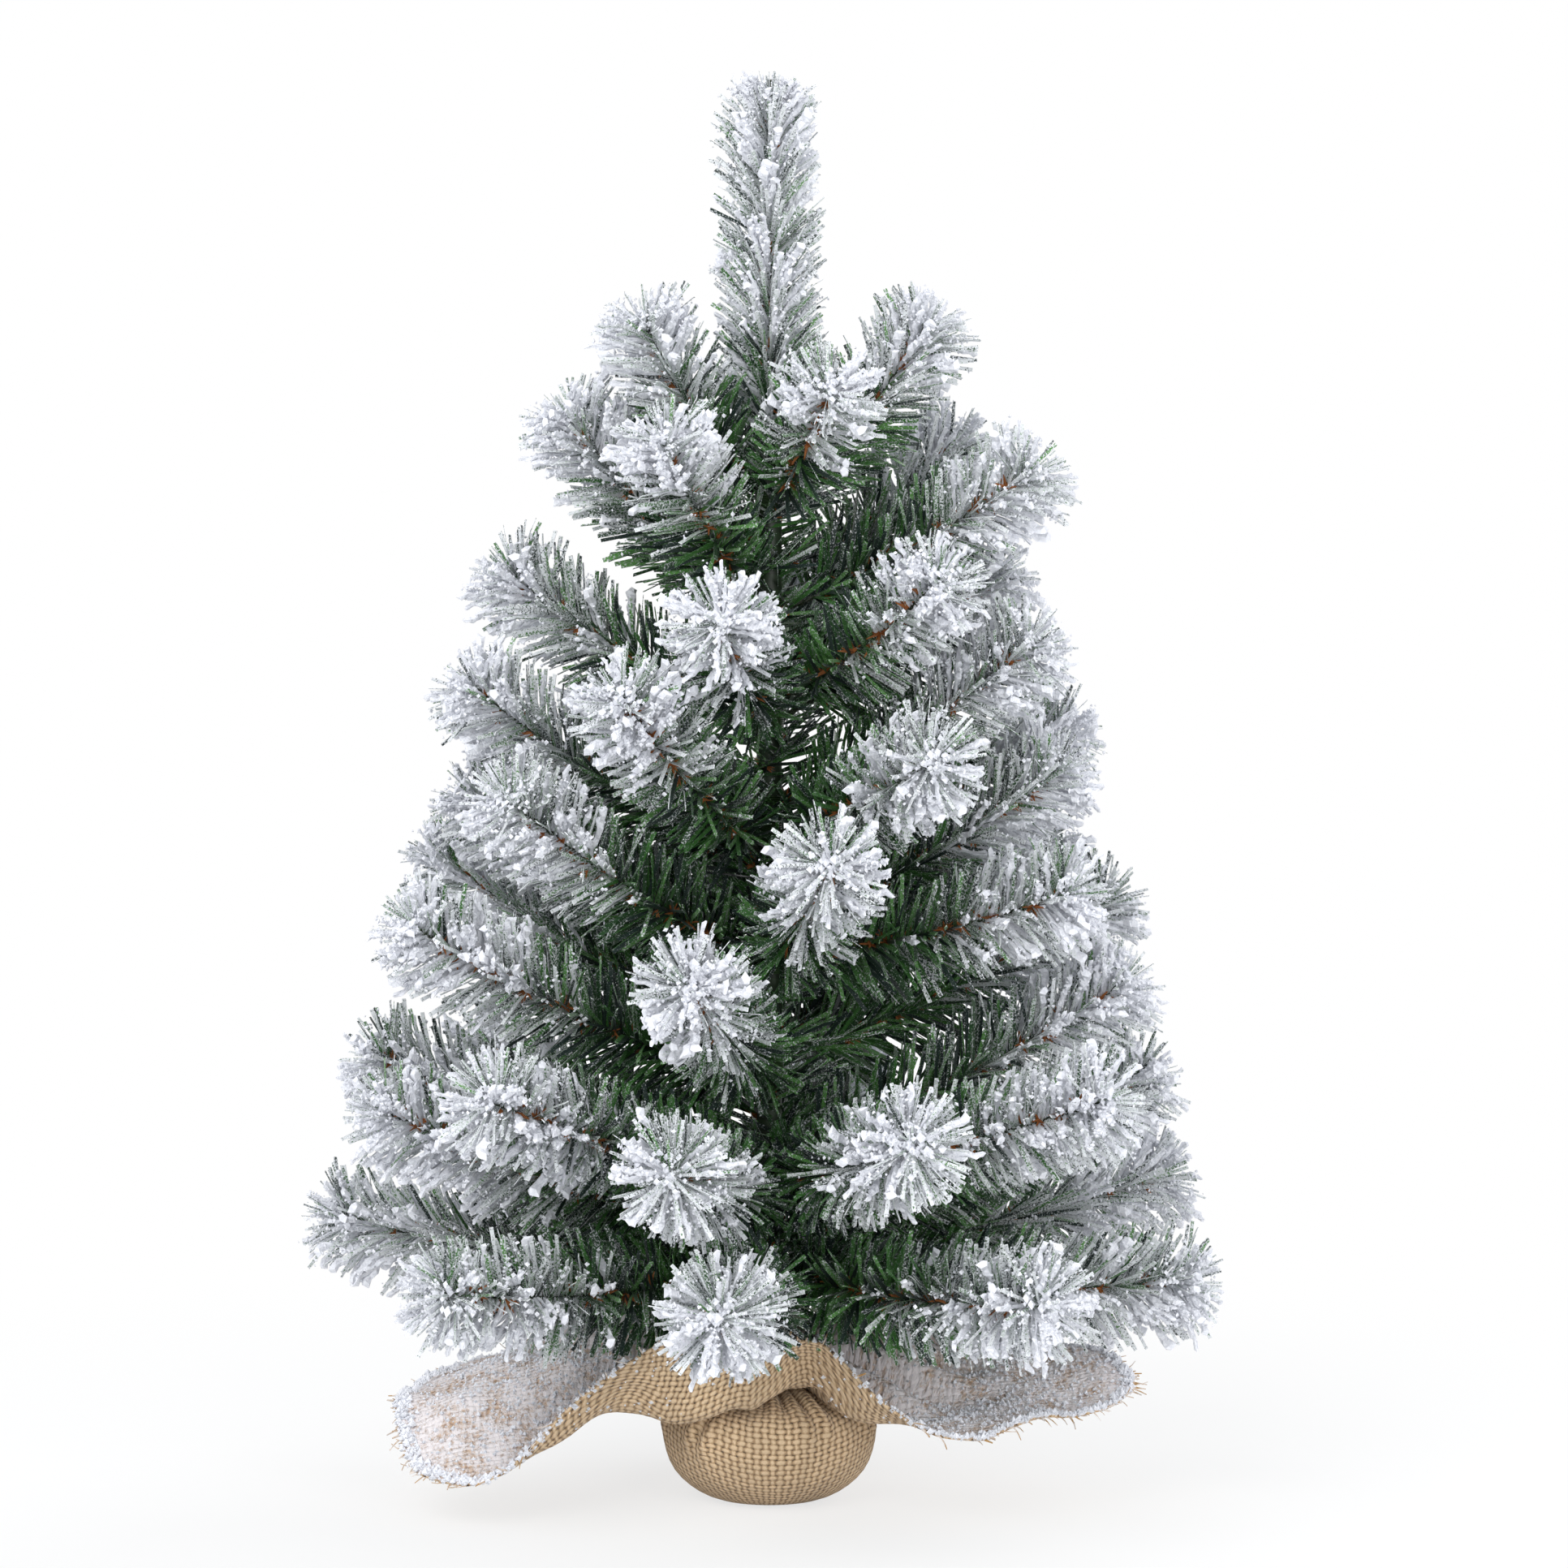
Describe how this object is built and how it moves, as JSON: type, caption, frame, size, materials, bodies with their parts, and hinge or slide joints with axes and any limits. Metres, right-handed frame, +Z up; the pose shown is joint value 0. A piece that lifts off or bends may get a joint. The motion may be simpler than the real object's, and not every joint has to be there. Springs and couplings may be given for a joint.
{
  "type": "artificial tabletop tree",
  "caption": "Small flocked artificial fir with bendable brush branches on a taped trunk, standing in a weighted base wrapped in tied burlap.",
  "frame": {"origin": "centre of the flat foot of the burlap bag, where the tree stands", "axes": "+Z up along the trunk, -Y the front, +X the viewer's right"},
  "size_m": [0.3575, 0.3389, 0.5918],
  "materials": {
    "cement": "cast, rough",
    "moulding_cup": "thin vacuum-formed",
    "burlap": "open jute weave",
    "tie_wire": "matte brown",
    "trunk_steel": "drawn rod",
    "trunk_tape": "wound PVC tape",
    "winding_wire": "matte green",
    "flocked_needles": "cut PVC needles under rough white flock"
  },
  "bodies": {
    "root": {"cement_weight": "cement", "weight_cup": "moulding_cup", "burlap_bag": "burlap", "burlap_skirt": "burlap", "neck_tie": "tie_wire", "trunk_rod": "trunk_steel", "trunk_tape": "trunk_tape", "branch_windings": "winding_wire"},
    "tier_1_branch_1": {"tier_1_branch_1": "flocked_needles"},
    "tier_1_branch_2": {"tier_1_branch_2": "flocked_needles"},
    "tier_1_branch_3": {"tier_1_branch_3": "flocked_needles"},
    "tier_1_branch_4": {"tier_1_branch_4": "flocked_needles"},
    "tier_1_branch_5": {"tier_1_branch_5": "flocked_needles"},
    "tier_1_branch_6": {"tier_1_branch_6": "flocked_needles"},
    "tier_1_branch_7": {"tier_1_branch_7": "flocked_needles"},
    "tier_1_branch_8": {"tier_1_branch_8": "flocked_needles"},
    "tier_1_branch_9": {"tier_1_branch_9": "flocked_needles"},
    "tier_1_branch_10": {"tier_1_branch_10": "flocked_needles"},
    "tier_2_branch_1": {"tier_2_branch_1": "flocked_needles"},
    "tier_2_branch_2": {"tier_2_branch_2": "flocked_needles"},
    "tier_2_branch_3": {"tier_2_branch_3": "flocked_needles"},
    "tier_2_branch_4": {"tier_2_branch_4": "flocked_needles"},
    "tier_2_branch_5": {"tier_2_branch_5": "flocked_needles"},
    "tier_2_branch_6": {"tier_2_branch_6": "flocked_needles"},
    "tier_2_branch_7": {"tier_2_branch_7": "flocked_needles"},
    "tier_2_branch_8": {"tier_2_branch_8": "flocked_needles"},
    "tier_3_branch_1": {"tier_3_branch_1": "flocked_needles"},
    "tier_3_branch_2": {"tier_3_branch_2": "flocked_needles"},
    "tier_3_branch_3": {"tier_3_branch_3": "flocked_needles"},
    "tier_3_branch_4": {"tier_3_branch_4": "flocked_needles"},
    "tier_3_branch_5": {"tier_3_branch_5": "flocked_needles"},
    "tier_3_branch_6": {"tier_3_branch_6": "flocked_needles"},
    "tier_4_branch_1": {"tier_4_branch_1": "flocked_needles"},
    "tier_4_branch_2": {"tier_4_branch_2": "flocked_needles"},
    "tier_4_branch_3": {"tier_4_branch_3": "flocked_needles"},
    "tier_4_branch_4": {"tier_4_branch_4": "flocked_needles"},
    "tier_4_branch_5": {"tier_4_branch_5": "flocked_needles"},
    "tier_4_branch_6": {"tier_4_branch_6": "flocked_needles"},
    "tier_4_branch_7": {"tier_4_branch_7": "flocked_needles"},
    "tier_5_branch_1": {"tier_5_branch_1": "flocked_needles"},
    "tier_5_branch_2": {"tier_5_branch_2": "flocked_needles"},
    "tier_5_branch_3": {"tier_5_branch_3": "flocked_needles"},
    "tier_5_branch_4": {"tier_5_branch_4": "flocked_needles"},
    "tier_5_branch_5": {"tier_5_branch_5": "flocked_needles"},
    "tier_5_branch_6": {"tier_5_branch_6": "flocked_needles"},
    "tier_6_branch_1": {"tier_6_branch_1": "flocked_needles"},
    "tier_6_branch_2": {"tier_6_branch_2": "flocked_needles"},
    "tier_6_branch_3": {"tier_6_branch_3": "flocked_needles"},
    "tier_6_branch_4": {"tier_6_branch_4": "flocked_needles"},
    "tier_6_branch_5": {"tier_6_branch_5": "flocked_needles"},
    "tier_7_branch_1": {"tier_7_branch_1": "flocked_needles"},
    "tier_7_branch_2": {"tier_7_branch_2": "flocked_needles"},
    "tier_7_branch_3": {"tier_7_branch_3": "flocked_needles"},
    "tier_7_branch_4": {"tier_7_branch_4": "flocked_needles"},
    "tier_7_branch_5": {"tier_7_branch_5": "flocked_needles"},
    "tier_8_branch_1": {"tier_8_branch_1": "flocked_needles"},
    "tier_8_branch_2": {"tier_8_branch_2": "flocked_needles"},
    "tier_8_branch_3": {"tier_8_branch_3": "flocked_needles"},
    "tier_8_branch_4": {"tier_8_branch_4": "flocked_needles"},
    "leader": {"leader": "flocked_needles"}
  },
  "joints": [
    {"name": "tier_1_branch_1_bend", "type": "hinge", "parent": "root", "child": "tier_1_branch_1", "pos_m": [-0.0077, 0.00122, 0.094], "axis": [0.1564, 0.9877, 0], "range_deg": [-8, 20]},
    {"name": "tier_1_branch_2_bend", "type": "hinge", "parent": "root", "child": "tier_1_branch_2", "pos_m": [-0.00571, -0.00532, 0.094], "axis": [-0.682, 0.7314, 0], "range_deg": [-8, 20]},
    {"name": "tier_1_branch_3_bend", "type": "hinge", "parent": "root", "child": "tier_1_branch_3", "pos_m": [-0.00081, -0.00776, 0.094], "axis": [-0.9945, 0.1045, 0], "range_deg": [-8, 20]},
    {"name": "tier_1_branch_4_bend", "type": "hinge", "parent": "root", "child": "tier_1_branch_4", "pos_m": [0.00458, -0.00631, 0.094], "axis": [-0.809, -0.5878, 0], "range_deg": [-8, 20]},
    {"name": "tier_1_branch_5_bend", "type": "hinge", "parent": "root", "child": "tier_1_branch_5", "pos_m": [0.00768, -0.00135, 0.094], "axis": [-0.1736, -0.9848, 0], "range_deg": [-8, 20]},
    {"name": "tier_1_branch_6_bend", "type": "hinge", "parent": "root", "child": "tier_1_branch_6", "pos_m": [0.00723, 0.00292, 0.098], "axis": [0.3746, -0.9272, 0], "range_deg": [-8, 20]},
    {"name": "tier_1_branch_7_bend", "type": "hinge", "parent": "root", "child": "tier_1_branch_7", "pos_m": [0.0039, 0.00675, 0.094], "axis": [0.866, -0.5, 0], "range_deg": [-8, 20]},
    {"name": "tier_1_branch_8_bend", "type": "hinge", "parent": "root", "child": "tier_1_branch_8", "pos_m": [-0.00501, 0.00598, 0.094], "axis": [0.766, 0.6428, 0], "range_deg": [-8, 20]},
    {"name": "tier_1_branch_9_bend", "type": "hinge", "parent": "root", "child": "tier_1_branch_9", "pos_m": [-0.00733, -0.00267, 0.11], "axis": [-0.342, 0.9397, 0], "range_deg": [-8, 20]},
    {"name": "tier_1_branch_10_bend", "type": "hinge", "parent": "root", "child": "tier_1_branch_10", "pos_m": [0.00778, 0.00054, 0.112], "axis": [0.0698, -0.9976, 0], "range_deg": [-8, 20]},
    {"name": "tier_2_branch_1_bend", "type": "hinge", "parent": "root", "child": "tier_2_branch_1", "pos_m": [-0.0078, -0.00014, 0.137], "axis": [-0.0175, 0.9998, 0], "range_deg": [-12, 20]},
    {"name": "tier_2_branch_2_bend", "type": "hinge", "parent": "root", "child": "tier_2_branch_2", "pos_m": [-0.00532, -0.00571, 0.137], "axis": [-0.7314, 0.682, 0], "range_deg": [-12, 20]},
    {"name": "tier_2_branch_3_bend", "type": "hinge", "parent": "root", "child": "tier_2_branch_3", "pos_m": [-0.00176, -0.0076, 0.13], "axis": [-0.9744, 0.225, 0], "range_deg": [-12, 20]},
    {"name": "tier_2_branch_4_bend", "type": "hinge", "parent": "root", "child": "tier_2_branch_4", "pos_m": [0.00267, -0.00733, 0.135], "axis": [-0.9397, -0.342, 0], "range_deg": [-12, 20]},
    {"name": "tier_2_branch_5_bend", "type": "hinge", "parent": "root", "child": "tier_2_branch_5", "pos_m": [0.00639, -0.00447, 0.137], "axis": [-0.5736, -0.8192, 0], "range_deg": [-12, 20]},
    {"name": "tier_2_branch_6_bend", "type": "hinge", "parent": "root", "child": "tier_2_branch_6", "pos_m": [0.00768, -0.00135, 0.142], "axis": [-0.1736, -0.9848, 0], "range_deg": [-12, 20]},
    {"name": "tier_2_branch_7_bend", "type": "hinge", "parent": "root", "child": "tier_2_branch_7", "pos_m": [0.00162, 0.00763, 0.137], "axis": [0.9781, -0.2079, 0], "range_deg": [-12, 20]},
    {"name": "tier_2_branch_8_bend", "type": "hinge", "parent": "root", "child": "tier_2_branch_8", "pos_m": [-0.00639, 0.00447, 0.137], "axis": [0.5736, 0.8192, 0], "range_deg": [-12, 20]},
    {"name": "tier_3_branch_1_bend", "type": "hinge", "parent": "root", "child": "tier_3_branch_1", "pos_m": [-0.00737, 0.00254, 0.19], "axis": [0.3256, 0.9455, 0], "range_deg": [-12, 20]},
    {"name": "tier_3_branch_2_bend", "type": "hinge", "parent": "root", "child": "tier_3_branch_2", "pos_m": [-0.00713, -0.00317, 0.173], "axis": [-0.4067, 0.9135, 0], "range_deg": [-12, 20]},
    {"name": "tier_3_branch_3_bend", "type": "hinge", "parent": "root", "child": "tier_3_branch_3", "pos_m": [-0.00162, -0.00763, 0.18], "axis": [-0.9781, 0.2079, 0], "range_deg": [-12, 20]},
    {"name": "tier_3_branch_4_bend", "type": "hinge", "parent": "root", "child": "tier_3_branch_4", "pos_m": [0.00742, 0.00241, 0.183], "axis": [0.309, -0.9511, 0], "range_deg": [-12, 20]},
    {"name": "tier_3_branch_5_bend", "type": "hinge", "parent": "root", "child": "tier_3_branch_5", "pos_m": [-0.00354, 0.00695, 0.178], "axis": [0.891, 0.454, 0], "range_deg": [-12, 20]},
    {"name": "tier_3_branch_6_bend", "type": "hinge", "parent": "root", "child": "tier_3_branch_6", "pos_m": [0.0039, 0.00675, 0.186], "axis": [0.866, -0.5, 0], "range_deg": [-12, 20]},
    {"name": "tier_4_branch_1_bend", "type": "hinge", "parent": "root", "child": "tier_4_branch_1", "pos_m": [-0.00654, -0.00425, 0.226], "axis": [-0.5446, 0.8387, 0], "range_deg": [-12, 20]},
    {"name": "tier_4_branch_2_bend", "type": "hinge", "parent": "root", "child": "tier_4_branch_2", "pos_m": [-0.00777, 0.00068, 0.23], "axis": [0.0872, 0.9962, 0], "range_deg": [-12, 20]},
    {"name": "tier_4_branch_3_bend", "type": "hinge", "parent": "root", "child": "tier_4_branch_3", "pos_m": [0.00149, -0.00766, 0.224], "axis": [-0.9816, -0.1908, 0], "range_deg": [-12, 20]},
    {"name": "tier_4_branch_4_bend", "type": "hinge", "parent": "root", "child": "tier_4_branch_4", "pos_m": [0.00695, -0.00354, 0.226], "axis": [-0.454, -0.891, 0], "range_deg": [-12, 20]},
    {"name": "tier_4_branch_5_bend", "type": "hinge", "parent": "root", "child": "tier_4_branch_5", "pos_m": [0.00779, -0.00027, 0.236], "axis": [-0.0349, -0.9994, 0], "range_deg": [-12, 20]},
    {"name": "tier_4_branch_6_bend", "type": "hinge", "parent": "root", "child": "tier_4_branch_6", "pos_m": [0.00669, 0.00402, 0.226], "axis": [0.515, -0.8572, 0], "range_deg": [-12, 20]},
    {"name": "tier_4_branch_7_bend", "type": "hinge", "parent": "root", "child": "tier_4_branch_7", "pos_m": [-0.00202, 0.00753, 0.23], "axis": [0.9659, 0.2588, 0], "range_deg": [-12, 20]},
    {"name": "tier_5_branch_1_bend", "type": "hinge", "parent": "root", "child": "tier_5_branch_1", "pos_m": [-0.00766, -0.00149, 0.266], "axis": [-0.1908, 0.9816, 0], "range_deg": [-12, 20]},
    {"name": "tier_5_branch_2_bend", "type": "hinge", "parent": "root", "child": "tier_5_branch_2", "pos_m": [-0.00413, -0.00662, 0.27], "axis": [-0.848, 0.5299, 0], "range_deg": [-12, 20]},
    {"name": "tier_5_branch_3_bend", "type": "hinge", "parent": "root", "child": "tier_5_branch_3", "pos_m": [0.00436, -0.00647, 0.278], "axis": [-0.829, -0.5592, 0], "range_deg": [-12, 20]},
    {"name": "tier_5_branch_4_bend", "type": "hinge", "parent": "root", "child": "tier_5_branch_4", "pos_m": [0.00742, -0.00241, 0.288], "axis": [-0.309, -0.9511, 0], "range_deg": [-12, 20]},
    {"name": "tier_5_branch_5_bend", "type": "hinge", "parent": "root", "child": "tier_5_branch_5", "pos_m": [0.00742, 0.00241, 0.271], "axis": [0.309, -0.9511, 0], "range_deg": [-12, 20]},
    {"name": "tier_5_branch_6_bend", "type": "hinge", "parent": "root", "child": "tier_5_branch_6", "pos_m": [-0.00522, 0.0058, 0.27], "axis": [0.7431, 0.6691, 0], "range_deg": [-12, 20]},
    {"name": "tier_6_branch_1_bend", "type": "hinge", "parent": "root", "child": "tier_6_branch_1", "pos_m": [-0.00777, 0.00068, 0.324], "axis": [0.0872, 0.9962, 0], "range_deg": [-12, 20]},
    {"name": "tier_6_branch_2_bend", "type": "hinge", "parent": "root", "child": "tier_6_branch_2", "pos_m": [-0.00149, -0.00766, 0.325], "axis": [-0.9816, 0.1908, 0], "range_deg": [-12, 20]},
    {"name": "tier_6_branch_3_bend", "type": "hinge", "parent": "root", "child": "tier_6_branch_3", "pos_m": [0.00571, -0.00532, 0.333], "axis": [-0.682, -0.7314, 0], "range_deg": [-12, 20]},
    {"name": "tier_6_branch_4_bend", "type": "hinge", "parent": "root", "child": "tier_6_branch_4", "pos_m": [0.00778, 0.00054, 0.327], "axis": [0.0698, -0.9976, 0], "range_deg": [-12, 20]},
    {"name": "tier_6_branch_5_bend", "type": "hinge", "parent": "root", "child": "tier_6_branch_5", "pos_m": [0.00109, 0.00772, 0.325], "axis": [0.9903, -0.1392, 0], "range_deg": [-12, 20]},
    {"name": "tier_7_branch_1_bend", "type": "hinge", "parent": "root", "child": "tier_7_branch_1", "pos_m": [-0.00774, -0.00095, 0.371], "axis": [-0.1219, 0.9925, 0], "range_deg": [-12, 20]},
    {"name": "tier_7_branch_2_bend", "type": "hinge", "parent": "root", "child": "tier_7_branch_2", "pos_m": [-0.00436, -0.00647, 0.371], "axis": [-0.829, 0.5592, 0], "range_deg": [-12, 20]},
    {"name": "tier_7_branch_3_bend", "type": "hinge", "parent": "root", "child": "tier_7_branch_3", "pos_m": [0.0075, -0.00215, 0.371], "axis": [-0.2756, -0.9613, 0], "range_deg": [-12, 20]},
    {"name": "tier_7_branch_4_bend", "type": "hinge", "parent": "root", "child": "tier_7_branch_4", "pos_m": [0.00662, 0.00413, 0.371], "axis": [0.5299, -0.848, 0], "range_deg": [-12, 20]},
    {"name": "tier_7_branch_5_bend", "type": "hinge", "parent": "root", "child": "tier_7_branch_5", "pos_m": [-0.00571, 0.00532, 0.371], "axis": [0.682, 0.7314, 0], "range_deg": [-12, 20]},
    {"name": "tier_8_branch_1_bend", "type": "hinge", "parent": "root", "child": "tier_8_branch_1", "pos_m": [-0.00662, -0.00413, 0.415], "axis": [-0.5299, 0.848, 0], "range_deg": [-12, 20]},
    {"name": "tier_8_branch_2_bend", "type": "hinge", "parent": "root", "child": "tier_8_branch_2", "pos_m": [0.00779, 0.00027, 0.415], "axis": [0.0349, -0.9994, 0], "range_deg": [-12, 20]},
    {"name": "tier_8_branch_3_bend", "type": "hinge", "parent": "root", "child": "tier_8_branch_3", "pos_m": [0.00267, -0.00733, 0.415], "axis": [-0.9397, -0.342, 0], "range_deg": [-12, 20]},
    {"name": "tier_8_branch_4_bend", "type": "hinge", "parent": "root", "child": "tier_8_branch_4", "pos_m": [0.00068, 0.00777, 0.415], "axis": [0.9962, -0.0872, 0], "range_deg": [-12, 20]},
    {"name": "leader_bend", "type": "hinge", "parent": "root", "child": "leader", "pos_m": [0, 0, 0.4338], "axis": [1, 0, 0], "range_deg": [-15, 15]}
  ]
}
